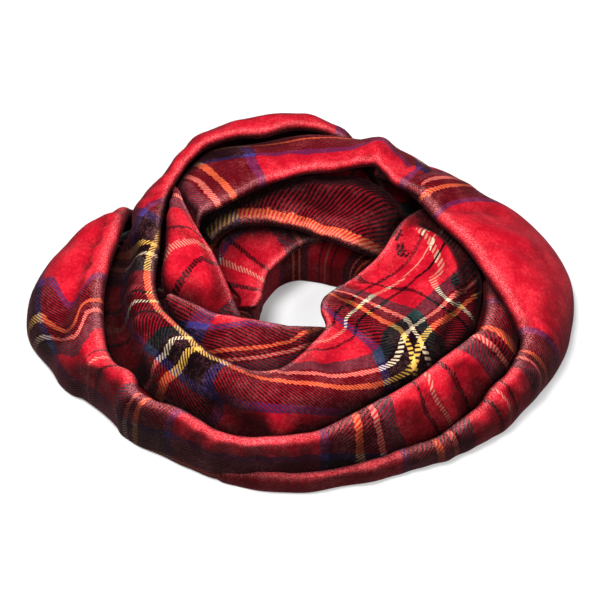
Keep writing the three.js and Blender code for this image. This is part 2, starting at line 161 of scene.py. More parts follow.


# %% [markdown]
# Folds make cloth look like cloth. A physics simulation would lay it somewhere else than the real
# scarf, so each large fold is laid one by one, along a line seen from above. Small creases near the
# rolled rim, and a gentle unevenness everywhere, come from sums of waves with seeded random phases.

# %% Folds and creases
def ridge(xy, path, width, rise):
    """rise times e to the power of -(d / w) squared. d is the distance in plan from the path, and w
    is width to its left and the second width, where one is given, to its right."""
    left, right = width if isinstance(width, tuple) else (width, width)
    points = [plan(*place) for place in path]
    nearest = np.full(xy.shape[:2], 1e9)
    wide = np.full(xy.shape[:2], float(left))
    for a, b in zip(points, points[1:]):
        run = b - a
        along = np.clip(((xy - a) @ run) / (run @ run), 0, 1)
        away = xy - a - along[:, :, None] * run
        distance = np.linalg.norm(away, axis=2)
        side = run[0] * away[:, :, 1] - run[1] * away[:, :, 0]
        wide = np.where(distance < nearest, np.where(side > 0, left, right), wide)
        nearest = np.minimum(distance, nearest)
    return rise * np.exp(-((nearest / wide) ** 2))


def waves(u, v, shortest, longest, count=14):
    """A sum of sines of seeded phase, with wavelengths from shortest to longest, and about 1 high."""
    total = np.zeros_like(u)
    for _ in range(count):
        length = shortest * (longest / shortest) ** rng.random()
        lean = rng.normal(0, 0.45)
        total += np.sin(2 * np.pi * ((u + lean * v) / length + rng.random()))
    return total / math.sqrt(count / 2)


# %% [markdown]
# The outer side alone has no thickness. The wall is closed by a second grid on its inner side, and the
# two share their border, where the thickness falls to nothing as in a half circle. Solidify would do
# much the same, but here the border stays round, and no two faces cross at the rolled rim.

# %% A closed wall of cloth from a grid
def quads(index):
    """The faces between the rows and columns of a grid of point numbers."""
    return np.stack([index[:-1, :-1], index[1:, :-1], index[1:, 1:], index[:-1, 1:]], -1).reshape(-1, 4)


def wall(points):
    """outer and inner = middle plus and minus half the thickness times k along the normal, where
    k = the root of 1 - (1 - d / half)^2, and d is the distance from the grid's border."""
    half = CLOTH / 2
    normal = along_normals(points)
    far = []
    for axis in (0, 1):
        step = np.linalg.norm(np.diff(points, axis=axis), axis=2)
        first = np.zeros_like(np.take(step, [0], axis=axis))
        run = np.concatenate([first, np.cumsum(step, axis=axis)], axis=axis)
        far += [run, np.take(run, [-1], axis=axis) - run]
    edge = np.minimum.reduce(far)
    k = np.sqrt(1 - (1 - np.clip(edge / half, 0, 1)) ** 2)[:, :, None]
    middle = points - normal * half
    both = np.concatenate([(middle + normal * half * k).reshape(-1, 3),
                           (middle - normal * half * k).reshape(-1, 3)])
    n, m = points.shape[:2]
    outer = np.arange(n * m).reshape(n, m)
    inner = outer + n * m
    border = np.ones((n, m), bool)
    border[1:-1, 1:-1] = False
    inner = np.where(border, outer, inner)
    return both, np.concatenate([quads(outer), quads(inner)[:, ::-1]])


def piece(name, points, faces, maps, rim, nodes):
    """Makes one object from points in millimetres, and turns its faces outwards. maps holds two places
    in the cloth for each point: one for the stripes and one for the weave."""
    used, faces = np.unique(faces, return_inverse=True)
    faces = faces.reshape(-1, 4)
    points = points[used]
    points[:, 2] = np.maximum(points[:, 2], 0)
    a, b, c, d = (points[faces[:, k]] for k in range(4))
    volume = np.einsum("ij,ij->i", a, np.cross(b, c) + np.cross(c, d)).sum() / 6
    if volume < 0:
        faces = faces[:, ::-1]
    area = np.linalg.norm(np.cross(c - a, d - b), axis=1).sum() / 2
    mesh = bpy.data.meshes.new(name)
    mesh.from_pydata(((points + HOLE) * MM).tolist(), [], faces.tolist())
    mesh.shade_smooth()
    for map_name, uv in zip(("cloth", "weave"), maps):
        layer = mesh.uv_layers.new(name=map_name)
        layer.uv.foreach_set("vector", (uv[used][faces.ravel()] * MM).ravel().astype(np.float32))
    # the rim attribute is the mask of a painted highlight
    near = mesh.attributes.new("rim", "FLOAT", "POINT")
    near.data.foreach_set("value", rim[used].astype(np.float32))
    cloth = bpy.data.objects.new(name, mesh)
    bpy.context.scene.collection.objects.link(cloth)
    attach(cloth, "root")
    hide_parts(*nodes)
    print(f"{name}: {2 * len(faces)} triangles, half its surface {area / 2 * MM * MM:.4f} m2, "
          f"volume {abs(volume):.0f} mm3")
    return cloth


# %% [markdown]
# The tartan has to follow the cloth, so each piece carries its own UV map, in metres of cloth. u runs
# along the scarf and v across it from the rim. A short table for each piece says where a stripe of the
# pattern crosses the rim, and the pattern is stretched evenly between those places.

# %% One stretch of the scarf
DRAG = 1.0
SOFTEN = 7
FADE = 8.0


def stretch(name, rows, nodes, tartan, folds=(), pulls=(), roll=3.8, tuck=8.0, across=40,
            crease=0.6, way=1, pad=0.0):
    """The lapped ribbon of a table, raised along its normals by its folds, creases and unevenness,
    then closed to a wall. tartan has rows of bearing, u, v at the rim, and lean. v grows outwards
    where way is positive, and falls where it is negative. A fold draws the pattern along with it, by
    DRAG times its rise, and a pull draws the pattern along without raising the cloth. pad puts the
    whole ribbon that many millimetres further out."""
    table = np.array(rows, float)
    points, crest, bearing = section_lines(table, roll, tuck, across)
    step = np.linalg.norm(np.diff(points, axis=1), axis=2)
    over = np.concatenate([np.zeros((len(points), 1)), np.cumsum(step, axis=1)], axis=1)
    over -= over[:, crest][:, None]
    pattern = np.array(tartan, float)
    pattern[:, 0] += 360 * np.round((bearing.mean() - pattern[:, 0]) / 360)
    pattern = pattern[np.argsort(pattern[:, 0])]
    u, v, lean = (softened(np.interp(bearing, pattern[:, 0], pattern[:, k]), SOFTEN)[:, None]
                  for k in (1, 2, 3))
    u = u + lean * over
    v = v + way * over
    fade = np.clip(over / FADE, 0, 1)
    rise = 0.5 * waves(u, v, 30, 90) * fade
    rise += crease * waves(u, v, 12, 34) * np.exp(-((over - 4) / 20) ** 2) * np.clip(over / 4 + 1, 0, 1)
    xy = points[:, :, :2]
    drawn = sum((ridge(xy, path, width, height) for path, width, height in folds), 0 * rise) * fade
    points = points + along_normals(points) * (rise + drawn + pad)[:, :, None]
    both, faces = wall(points)
    weave = np.stack([u, v + 0 * u], -1)
    pulled = sum((ridge(xy, path, width, far) for path, width, far in pulls), DRAG * drawn)
    stripes = weave + np.stack([pulled + 0.8 * waves(u, v, 30, 120), 0.8 * waves(v, u, 30, 120)], -1)
    maps = [np.tile(one.reshape(-1, 2), (2, 1)) for one in (stripes, weave)]
    # rim is the mask of a painted highlight, strongest just over the crest of the rolled rim
    rim = 0.8 * np.exp(-(((over + 0.8) / 1.9) ** 2)) + 0.12 * np.exp(-((over / 9) ** 2))
    return piece(name, both, faces, maps, np.tile(rim.ravel(), 2), nodes)


# %% [markdown]
# The outer turn lies lowest at the front and highest at the back. Its back stretch passes over the
# start of the right lobe, which shows as a lapel with a sharp corner.

# %% The outer turn at the back
back_band = stretch(
    "cloth_back_band",
    [
        [152, 82, 40, 147, 106, 37, 1, 1, 4],
        [147, 85, 47, 141, 114, 40, 1, 1, 5],
        [140, 89, 58, 135, 126, 42, 1, 2, 8],
        [130, 84, 62, 127, 137, 43, 1, 1, 7],
        [117, 83, 64, 117, 146, 44, 1, 1, 3],
        [104, 86, 65, 104, 143, 44, 1, 1, 3],
        [90, 91, 66, 91, 146, 44, 2, 1, 3],
        [82, 94, 66, 83, 150, 38, 2, 2, 8],
        [76, 96, 67, 77, 154, 22, 2, 4, 26],
        [70, 102, 67.5, 72, 158, 0, 2, 7, 46],
        [62, 111, 68, 66, 159, 0, 1, 7, 46],
        [56, 107, 68.5, 61, 159, 0, 1, 8, 46],
        [50, 102.5, 69, 56, 158, 0, 1, 8, 46],
        [43, 104.5, 69.5, 51, 156, 4, 0, 6, 42],
        [38, 107.5, 67.5, 47, 153, 10, 0, 3, 34],
        [33, 111, 61, 42, 150, 14, 0, 0, 24],
    ],
    ["back_band"],
    [
        (34, 80, 30, 0), (41, 60, 28, 0), (46, 50.5, 26, 0), (52, 41, 26, 0),
        (59.6, 28, 28, 0), (71, 0, 34, 0), (90, -26, 34, 0), (109.2, -50, 20, 0),
        (115.5, -62, 10, 0), (123.4, -72, 0, 0), (132.6, -82, -8, 0), (152, -110, -15, 0),
    ],
    folds=[
        ([(61, 108), (66, 146)], 8, 2.5),
        ([(49, 104), (52, 140)], 7, -2),
    ],
)

# %% The right lobe and the front edge
right_lobe = stretch(
    "cloth_right_lobe",
    [
        [62, 114, 58, 66, 148, 0, 1, 6, 34],
        [54, 113, 61, 60, 150, 0, 1, 6, 34],
        [46, 110, 63.5, 54, 156, 0, 1, 6, 34],
        [38, 108, 65, 47, 165, 0, 0, 6, 32],
        [27, 109, 63, 39, 172, 0, 0, 7, 28],
        [15, 118, 60, 30, 181, 0, -1, 8, 27],
        [6, 125, 58, 20, 190, 0, -1, 8, 24],
        [359, 132, 56, 11, 193, 0, -1, 7, 22],
        [355, 139, 53, 3, 190, 0, -1, 6, 20],
        [350.5, 147, 47, 356, 184, 0, -1, 5, 18],
        [345.4, 156, 39, 349, 177, 0, -1, 5, 17],
        [340, 155.5, 36, 342, 172, 0, 0, 5, 18],
        [335, 153.5, 33, 335, 166, 0, 0, 5, 16],
        [330, 148.5, 30, 330, 162, 0, 0, 5, 15],
        [324, 147.5, 26, 324, 157.5, 0, 0, 5, 13],
        [317, 143, 22, 317, 151.5, 0, 0, 5, 11],
        [310, 140, 18, 310, 146, 0, 0, 5, 10],
        [301, 133.5, 16, 301, 138, 0, 0, 3, 9],
        [292, 132, 15, 292, 136.5, 0, 0, 3, 8],
        [282, 131, 14, 282, 136, 0, 0, 2, 8],
        [272, 131, 13, 272, 136.5, 0, 0, 2, 7],
        [263, 131, 13, 263, 136.5, 0, 0, 2, 7],
        [253, 132.5, 11, 253, 137, 0, 0, 2, 7],
        [248, 132, 9, 248, 136, 0, 0, 2, 5],
        [244, 128, 8, 244, 132, 0, 0, 1, 4],
    ],
    ["right_lobe", "front_edge"],
    [
        (244, -262, -20, 0), (253, -250, -20, 0), (290, -216, -20, 0), (299, -201, -22, 0),
        (304, -189, -24, 0), (309, -176, -26, 0), (313, -166, -28, 0), (320, -150, -32, 0),
        (330, -122, -36, 0), (337.8, -90, -36, 0.1), (341.4, -72, -36, 0.2), (347, -50, -36, 0.2),
        (351, -32, -36, 0.25), (360, -18, -36, 0.3), (368, -4, -36, 0.35), (375, 12, -36, 0.42),
        (387.5, 48, -36, 0.42), (397, 74, -36, 0.42), (408, 100, -36, 0.42), (422, 120, -36, 0.42),
    ],
    folds=[
        ([(30, 114), (27, 150)], 10, -4),
        ([(20, 120), (14, 160)], 9, 3),
        ([(4, 140), (352, 170)], 20, 3),
        ([(42, 112), (38, 150)], 9, 3),
    ],
    roll=3.6, tuck=4, pad=2.2,
)

# %% The front band and the left lobe
front_band = stretch(
    "cloth_front_band",
    [
        [5, 129, 40, 8, 143, 31, 0, 2, 5],
        [358, 128, 43.5, 0, 144, 31, 0, 3, 6],
        [351, 129, 45.5, 352, 150, 28, 0, 3, 9],
        [343.5, 128, 46, 344.5, 152, 12, 1, 3, 18],
        [337, 122, 47, 337, 152, 0, 1, 1, 22],
        [326, 114, 47, 327, 146, 0, 1, 0, 16],
        [312, 110.5, 46, 313, 137.5, 0, 1, 0, 12],
        [299, 109.5, 45, 300, 132, 2, 1, 0, 10],
        [287, 111.5, 42, 287, 130.5, 3, 1, 0, 10],
        [277, 118, 41, 277, 130.5, 3, 1, 0, 10],
        [270, 121, 41, 270, 131, 3, 1, 0, 10],
        [262, 124, 41, 262, 132, 3, 1, 0, 10],
        [254, 128.5, 41, 254, 135, 2, 1, 0, 11],
        [246, 130, 41, 245, 138, 0, 0, 2, 16],
        [239, 128.5, 42, 238, 138, 0, 0, 3, 18],
        [232, 129, 43, 231, 140, 0, 1, 4, 20],
        [225, 134.5, 42, 223, 145, 0, 0, 3, 18],
        [219, 137.5, 43, 217, 147, 0, 0, 4, 20],
        [214, 134, 45, 211, 150, 0, 1, 6, 22],
        [208, 140, 45, 204, 158, 0, 1, 6, 22],
        [202, 141, 46, 197, 168, 0, 1, 7, 22],
        [193, 138, 47, 189, 178, 0, 1, 7, 20],
        [184, 136, 48, 181, 189, 0, 1, 6, 22],
        [174, 135, 48, 172, 187, 0, 1, 6, 24],
        [164, 136, 46, 163, 180, 0, 1, 7, 24],
        [155, 140, 43, 156, 173, 0, 0, 7, 24],
        [150, 145, 38, 151, 166, 0, 0, 6, 22],
        [146, 149, 30, 147, 160, 0, 0, 4, 16],
        [142, 148, 20, 142, 154, 0, 0, 2, 10],
        [138, 143, 12, 138, 147, 0, 0, 1, 6],
    ],
    ["front_band", "left_lobe"],
    [
        (138, -290, 6, 0), (147.5, -262, 6, 0), (162.9, -230, 0, 0), (176.5, -197, 0, 0),
        (190.1, -165.75, 6, 0), (205.9, -123.75, 16, 0), (222.3, -81.75, 26, 0), (234.4, -50, 32, 0),
        (256.5, 0, 36, 0), (277.7, 50, 34, 0), (287.8, 71.75, 22, 0), (299, 90, 10, 0),
        (317.8, 123.75, -6, 0), (339, 166, -14, 0), (353, 197, -14, 0), (365, 222, -14, 0),
    ],
    folds=[
        ([(157, 150), (173, 150), (187, 160), (191, 164)], (7, 9), -4),
        ([(153, 147), (172, 142), (188, 145)], 6, 2),
        ([(200, 148), (216, 146)], 9, 3),
        ([(203, 158), (214, 146)], 6, -2.5),
        ([(328, 122), (330, 150)], 7, -3),
        ([(316, 116), (318, 140)], 7, 3),
        ([(342, 134), (340, 152)], 6, 3),
    ],
    pulls=[
        ([(157, 152), (173, 152), (187, 158), (200, 156)], (10, 14), -20),
        ([(318, 128), (300, 124)], 8, 5),
        ([(222, 142), (234, 136)], 6, 5),
    ],
    tuck=3, pad=2.2,
)

# %% [markdown]
# The inner turn starts as a broad roll at the right of the hole, passes the front and the left, and
# ends under the outer turn at the back, where only its outer face shows.

# %% The inner turn round the hole
inner_roll = stretch(
    "cloth_inner_roll",
    [
        [41, 118, 45, 34, 128, 38, 0, 1, 3],
        [40, 97, 50, 24, 127, 37, 0, 1, 12],
        [36, 81, 53, 16, 126, 36, 0, 1, 17],
        [28, 65, 53, 9, 126, 34, 1, 1, 20],
        [20, 51, 52, 1, 125, 33.5, 2, 1, 22],
        [10, 35, 49, 353, 123, 33.5, 3, 0, 24],
        [358, 23, 47, 344, 121, 33.5, 3, 0, 26],
        [331, 17.5, 46, 335, 117, 33.5, 3, 0, 28],
        [304, 25, 49, 325, 110, 33.5, 3, 0, 30],
        [295, 40, 50, 312, 107, 33.5, 3, 0, 32],
        [277, 54, 52, 296, 107.5, 33, 4, -2, 33],
        [265, 70, 54, 280, 113, 31, 9, -7, 28],
        [257, 80, 56, 264, 120, 31, 9, -8, 20],
        [249, 86, 59, 253, 124, 31, 4, -6, 12],
        [241, 88, 61, 243, 127, 31, 1, -3, 8],
        [228, 89, 60, 229, 128, 33.5, 1, -5, 5],
        [215, 88, 58, 215, 131, 33.5, 1, -6, 4],
        [203, 92, 57, 203, 136, 33.5, 2, -10, 2],
        [193, 96, 55, 193, 137, 33.5, 3, -12, 1],
        [182, 98.5, 54, 182, 137, 33.5, 4, -13, 1],
        [172, 99.5, 53, 172, 137, 33.5, 5, -13, 1],
        [162, 102, 53, 162, 136, 33.5, 5, -10, 2],
        [153, 109, 53, 153, 133, 33.5, 4, 1, 20],
        [147, 114, 54, 146.5, 142, 16, 3, 4, 34],
        [142, 119, 55, 142, 148, 0, 2, 4, 44],
        [137, 124, 56, 137, 149, 0, 1, 5, 46],
        [131, 130, 57, 131, 150, 0, 1, 6, 46],
        [125, 136, 58, 125, 156, 0, 1, 6, 46],
        [118, 142, 58, 118, 167, 0, 1, 7, 46],
        [109, 143, 58, 109, 171, 0, 1, 7, 46],
        [101, 139, 58, 102, 174, 0, 1, 7, 46],
        [94, 143, 58, 94, 174, 0, 1, 7, 46],
        [88, 145, 57, 88, 172, 0, 1, 7, 44],
        [82, 144, 54, 82, 169, 0, 1, 6, 38],
        [76, 139, 49, 76, 163, 0, 0, 4, 28],
        [69, 130, 42, 69, 152, 0, 0, 1, 14],
        [62, 120, 35, 62, 142, 0, 0, 0, 6],
        [56, 114, 32, 56, 134, 0, 0, 0, 4],
    ],
    ["right_roll", "front_roll", "left_roll", "back_edge"],
    [
        (56, -92, 14, 0), (70, -64, 12, 0), (80, -46, 10, 0), (90, -32, 10, 0),
        (109, -10, 10, 0), (126, 8, 14, 0), (139, 24, 40, 0), (151, 50, 64, 0),
        (159.4, 66.9, 70, 0), (171, 87.6, 74, 0), (180, 103.5, 74, 0), (197, 132.9, 73, 0),
        (213, 159.25, 72, 0), (228, 182.6, 72, 0), (241, 202.75, 72, 0), (256, 226.5, 76, 0),
        (265, 243.5, 92, 0.2), (275, 261, 120, 0.3), (299, 290, 138, 0.45), (331, 310, 150, 0.45),
        (347, 319, 151, 0.35), (356, 330, 151, 0.3), (371, 366, 150, 0.2), (393, 418, 148, 0.2),
        (401, 436, 148, 0.2),
    ],
    folds=[
        ([(200, 110), (262, 109)], 9, 3),
        ([(240, 112), (258, 118)], 7, -2.5),
        ([(28, 92), (22, 103), (9, 108), (352, 103), (331, 100), (317, 101)], (8, 5), 4),
        ([(30, 104), (16, 113), (0, 115), (346, 108), (331, 108)], 5, -4),
        ([(10, 70), (345, 74), (318, 76)], 10, -3),
        ([(25, 72), (8, 92)], 8, -2.5),
        ([(6, 52), (340, 46)], 8, 2.5),
        ([(336, 92), (318, 88)], 7, 3),
        ([(236, 108), (250, 112), (266, 118)], 7, 4),
        ([(240, 118), (256, 121)], 6, -3),
        ([(186, 112), (206, 118), (222, 120)], 6, 2),
        ([(166, 124), (190, 128), (214, 126)], 7, -3),
    ],
    pulls=[
        ([(30, 84), (8, 82), (345, 82), (318, 82)], 14, -4),
    ],
    across=56, way=-1,
)

# %% [markdown]
# Four more folds hang into the hole. They are loops of the same turn, pushed inwards when the scarf
# was laid down.

# %% The folds that hang into the hole
inner_left = stretch(
    "cloth_inner_left",
    [
        [138.5, 112, 62, 137, 120, 59, 1, 0, 1],
        [142, 100, 61, 143, 115, 57, 2, 0, 3],
        [150, 80, 60, 151, 106, 50, 3, 1, 10],
        [155, 67, 54, 159, 100, 46, 6, 1, 16],
        [161, 59, 50, 166, 97, 44, 8, 1, 18],
        [168, 53, 47, 174, 95, 43, 9, 1, 18],
        [178, 48, 44, 181, 92, 41, 6, 1, 12],
        [187, 45, 40, 189, 84, 38, 2, 0, 4],
        [196, 43.5, 38, 197, 78, 36, 0, 0, 1],
        [205, 43, 37.7, 206, 66, 35, 0, 0, 0],
    ],
    ["inner_left"],
    [
        (138.5, 72, 30, 0), (141.9, 86, 16, 0), (150.1, 113.75, 0, 0), (155.6, 124.5, 0, -0.1),
        (167.6, 138, 0, -0.3), (184.5, 150, 0, -0.4), (205, 160, 0, -0.4),
    ],
    folds=[
        ([(145, 92), (190, 62)], 8, 2),
    ],
    roll=3.6, tuck=5,
)
inner_front = stretch(
    "cloth_inner_front",
    [
        [187, 88, 55, 190, 94, 46, 0, 1, 4],
        [191, 81, 55, 198, 92, 45, 0, 1, 5],
        [197, 71, 53, 208, 90, 44, 0, 1, 5],
        [204, 61, 50, 219, 88, 43, 0, 1, 4],
        [213, 47, 47, 231, 88, 42, 0, 1, 3],
        [234, 34, 44, 246, 86, 41, 0, 1, 2],
        [253, 30, 42, 258, 82, 40, 0, 1, 2],
        [270, 28.5, 41, 270, 76, 38, 0, 0, 1],
        [289, 28.5, 39, 285, 68, 36, 0, 0, 1],
        [303, 32, 38, 298, 62, 35, 0, 0, 1],
    ],
    ["inner_front"],
    [
        (187, 62, 28, 0), (203, 48, 38, 0), (213, 38, 44, 0), (234, 20, 52, 0),
        (270, 0, 65, 0), (303, -20, 76, 0),
    ],
    roll=3.8, tuck=5,
)
back_roll = stretch(
    "cloth_back_roll",
    [
        [30, 68, 39.6, 36, 98, 38, 0, 0, 0],
        [37, 61, 41, 44, 103, 40, 1, 0, 2],
        [48, 52, 47, 54, 107, 46, 2, 0, 4],
        [62, 48.5, 49, 66, 108, 48, 2, 0, 4],
        [76, 48.6, 49, 78, 105, 49, 2, 0, 4],
        [90, 53.5, 49, 90, 100, 49, 2, 0, 4],
        [109, 63, 48, 107, 94, 48, 2, 0, 4],
        [125, 72.5, 47, 122, 94, 46, 1, 0, 3],
        [136, 77, 44, 133, 98, 42, 0, 0, 2],
        [142, 78, 40, 139, 98, 37, 0, 0, 1],
    ],
    ["back_roll"],
    [
        (30, 46, 73, 0), (48.2, 34, 73, 0), (75, 8, 73, 0), (109.5, -28, 73, 0),
        (125.4, -48, 73, 0), (142, -66, 74, 0),
    ],
    folds=[
        ([(84, 88), (66, 93), (46, 96)], (7, 5), 4),
        ([(84, 78), (51, 78)], 7, -3),
    ],
    tuck=6, way=-0.42,
)
back_inner_fold = stretch(
    "cloth_back_inner_fold",
    [
        [72, 57, 36, 84, 74, 36, 0, 0, 0],
        [90, 47, 37, 100, 76, 36, 0, 0, 0],
        [113, 36, 36, 118, 78, 36, 0, 0, 0],
        [134, 32, 35, 137, 76, 35, 0, 0, 0],
        [158, 27, 34, 158, 60, 35, 0, 0, 0],
        [178, 26.5, 34, 177, 42, 34, 0, 0, 0],
        [192, 31, 34, 190, 43, 34, 0, 0, 0],
    ],
    ["back_inner_fold"],
    [
        (72, 66, 10, 0), (89.5, 84, 10, 0), (114.3, 104, 12, 0), (139, 120, 14, 0),
        (192, 146, 16, 0),
    ],
    roll=3, tuck=3, across=30,
)

# %% [markdown]
# Under everything lies the rest of the loop, folded flat on the table. Only the wall of the neck hole
# shows of it. It is a tube of cloth whose profile is the CAD ring's: a flat underside and round top
# edges.

# %% The hidden layers
UNDER = np.array([
    [0, 28, 168], [14, 40, 182], [30, 46, 172], [46, 49, 158], [62, 46, 150], [78, 45, 150],
    [94, 45, 160], [110, 42, 160], [126, 37, 148], [140, 34, 140], [147, 32, 130], [154, 31, 142],
    [162, 30, 160], [174, 29.5, 176], [186, 32, 172], [198, 38, 160], [214, 44, 139], [230, 42, 134],
    [246, 37, 124], [262, 33, 121], [278, 31, 120], [294, 29, 121], [310, 27, 124], [326, 22.5, 131],
    [340, 22, 135], [350, 24, 146],
], float)
UNDER_HEIGHT = 30.0
UNDER_ROUND = 11.0
UNDER_ROUND_WAY = 742.5


def ring(inset):
    """A closed ring. Its profile goes up the inner wall, round a quarter circle, across the top,
    round another and down, and then back along the underside, all moved in by inset."""
    rows = np.vstack([UNDER[-2:], UNDER, UNDER[:3]])
    rows[:, 0] = run_on(rows[:, 0])
    place = np.linspace(2, 2 + len(UNDER), 361)[:-1]
    whole = np.floor(place).astype(int)
    at = rows[whole, 0] + (place - whole) * (rows[whole + 1, 0] - rows[whole, 0])
    near = smooth(rows[:, 1], place)[:, None] + inset
    far = smooth(rows[:, 2], place)[:, None] - inset
    low, high, bend = inset, UNDER_HEIGHT - inset, UNDER_ROUND - inset
    rise = np.linspace(low, high - bend, 12)[None, :-1]
    turn = np.linspace(0, np.pi / 2, 9)[None, :]
    flat = np.linspace(0, 1, 24)[None, 1:-1]
    reach = np.hstack([near + 0 * rise, near + bend * (1 - np.cos(turn)),
                       near + bend + (far - near - 2 * bend) * flat,
                       far - bend * (1 - np.sin(turn)), far + 0 * rise[:, ::-1],
                       far + (near - far) * flat])
    height = np.hstack([rise, high - bend + bend * np.sin(turn), high + 0 * flat,
                        high - bend * (1 - np.cos(turn)), rise[:, ::-1], low + 0 * flat])
    xy = plan(at[:, None] + 0 * reach, reach)
    return np.dstack([xy, height + 0 * reach])


def hidden_layers():
    """Two closed rings, one inside the other, whose wall is the cloth's thickness."""
    rings = [ring(0.0), ring(CLOTH)]
    n, m = rings[0].shape[:2]
    index = np.arange(n * m).reshape(n, m)
    index = np.vstack([index, index[:1]])
    around = quads(np.hstack([index, index[:, :1]]))
    faces = np.concatenate([around, around[:, ::-1] + n * m])
    step = np.linalg.norm(np.diff(rings[0], axis=1, append=rings[0][:, :1]), axis=2)
    v = np.cumsum(step, axis=1) - step
    u = np.linspace(0, UNDER_ROUND_WAY, n)[:, None] + 0 * v
    weave = np.tile(np.stack([u, v], -1).reshape(-1, 2), (2, 1))
    points = np.concatenate([r.reshape(-1, 3) for r in rings])
    rim = np.zeros(len(points))
    maps = [weave, weave]
    return piece("cloth_hidden_layers", points, faces, maps, rim, ["hidden_layers"])


under = hidden_layers()
OUTER = [back_band, right_lobe, front_band]
INNER = [inner_roll, inner_left, inner_front, back_roll, back_inner_fold]
PIECES = [*OUTER, *INNER, under]

# %% [markdown]
# Deep folds in a plush are much darker than its rims, since little light gets in and less comes back.
# The renderer's own shadows show part of that. The rest is painted shade, worked out here once from the
# shapes: a height map of the whole scarf is sampled round each point, and what the neighbours hide of
# the sky, times a darkening of steep walls, is kept as an attribute that the material paints into its
# colour.
# It is the same from every side.

# %% How open each place is to the sky
CELL = 1.5
HALF = 220.0
LOOKS = [3.0, 6.0, 10.0, 15.0, 22.0, 32.0]
CELLS = int(2 * HALF / CELL)
CONTRAST = 2.2


def triples(items, key):
    """The three numbers that each item keeps under key."""
    flat = np.empty(3 * len(items), np.float32)
    items.foreach_get(key, flat)
    return flat.reshape(-1, 3)


def cell_of(xy):
    """The height map's cell for each place in plan."""
    return np.clip(((xy + HALF) / CELL).astype(int), 0, CELLS - 1)


def height_map(clouds):
    """The highest point in each square cell; an empty cell takes the highest of its neighbours."""
    heights = np.zeros((CELLS, CELLS))
    for cloud in clouds:
        cells = cell_of(cloud[:, :2])
        np.maximum.at(heights, (cells[:, 0], cells[:, 1]), cloud[:, 2])
    shifts = [np.roll(heights, (i, j), (0, 1)) for i in (-1, 0, 1) for j in (-1, 0, 1)]
    return np.maximum(heights, np.where(heights > 0, heights, np.max(shifts, axis=0)))


def openness(cloud, heights):
    """The mean over 16 bearings of 1 - the sine of the horizon's angle, which is the steepest of
    rise / distance to the heights sampled that way."""
    total = np.zeros(len(cloud))
    for bearing in np.arange(0, 360, 22.5):
        way = plan(bearing, 1.0)
        slope = np.zeros(len(cloud))
        for look in LOOKS:
            cells = cell_of(cloud[:, :2] + look * way)
            slope = np.maximum(slope, (heights[cells[:, 0], cells[:, 1]] - cloud[:, 2]) / look)
        total += 1 - slope / np.sqrt(1 + slope ** 2)
    return total / 16


def steepness(cloth):
    """0.4 on a wall that stands upright and 1 on level cloth, a painted shade by slope: the nap of a
    plush swallows the light that comes along it."""
    upward = triples(cloth.data.vertex_normals, "vector")[:, 2]
    return 0.4 + 0.6 * np.clip(upward, 0, 1)


clouds = [triples(cloth.data.vertices, "co") / MM for cloth in PIECES]
heights = height_map(clouds)
for cloth, cloud in zip(PIECES, clouds):
    # painted shade: openness to the sky times the darkening of steep walls, which the material paints
    # into the colour
    painted_shade = openness(cloud, heights) ** CONTRAST * steepness(cloth)
    layer = cloth.data.attributes.new("open", "FLOAT", "POINT")
    layer.data.foreach_set("value", painted_shade.astype(np.float32))
    print(f"{cloth.name}: open from {painted_shade.min():.2f} to {painted_shade.max():.2f}")

# %% [markdown]
# The pattern is woven, so its colour at a point is one of two threads: the one along the scarf or the
# one across it. A twill shows them in turn on fine diagonals, which is why a tartan's crossings look
# hatched. Painting the squares would lose that, so the shader picks between the two threads.

# %% Shader maths as plain expressions
class Wire:
    """A node's output. Operators on it add Math nodes, and numbers may stand on either side."""

    def __init__(self, shader, socket):
        self.shader = shader
        self.socket = socket

    def maths(self, operation, *others):
        return self.shader.node("ShaderNodeMath", {"operation": operation}, [self, *others])

    def __add__(self, other):
        return self.maths("ADD", other)

    def __sub__(self, other):
        return self.maths("SUBTRACT", other)

    def __rsub__(self, other):
        return self.shader.node("ShaderNodeMath", {"operation": "SUBTRACT"}, [other, self])

    def __mul__(self, other):
        return self.maths("MULTIPLY", other)

    def __truediv__(self, other):
        return self.maths("DIVIDE", other)

    __radd__ = __add__
    __rmul__ = __mul__

    def clamped(self):
        return self.shader.node("ShaderNodeClamp", {}, [self, 0.0, 1.0])


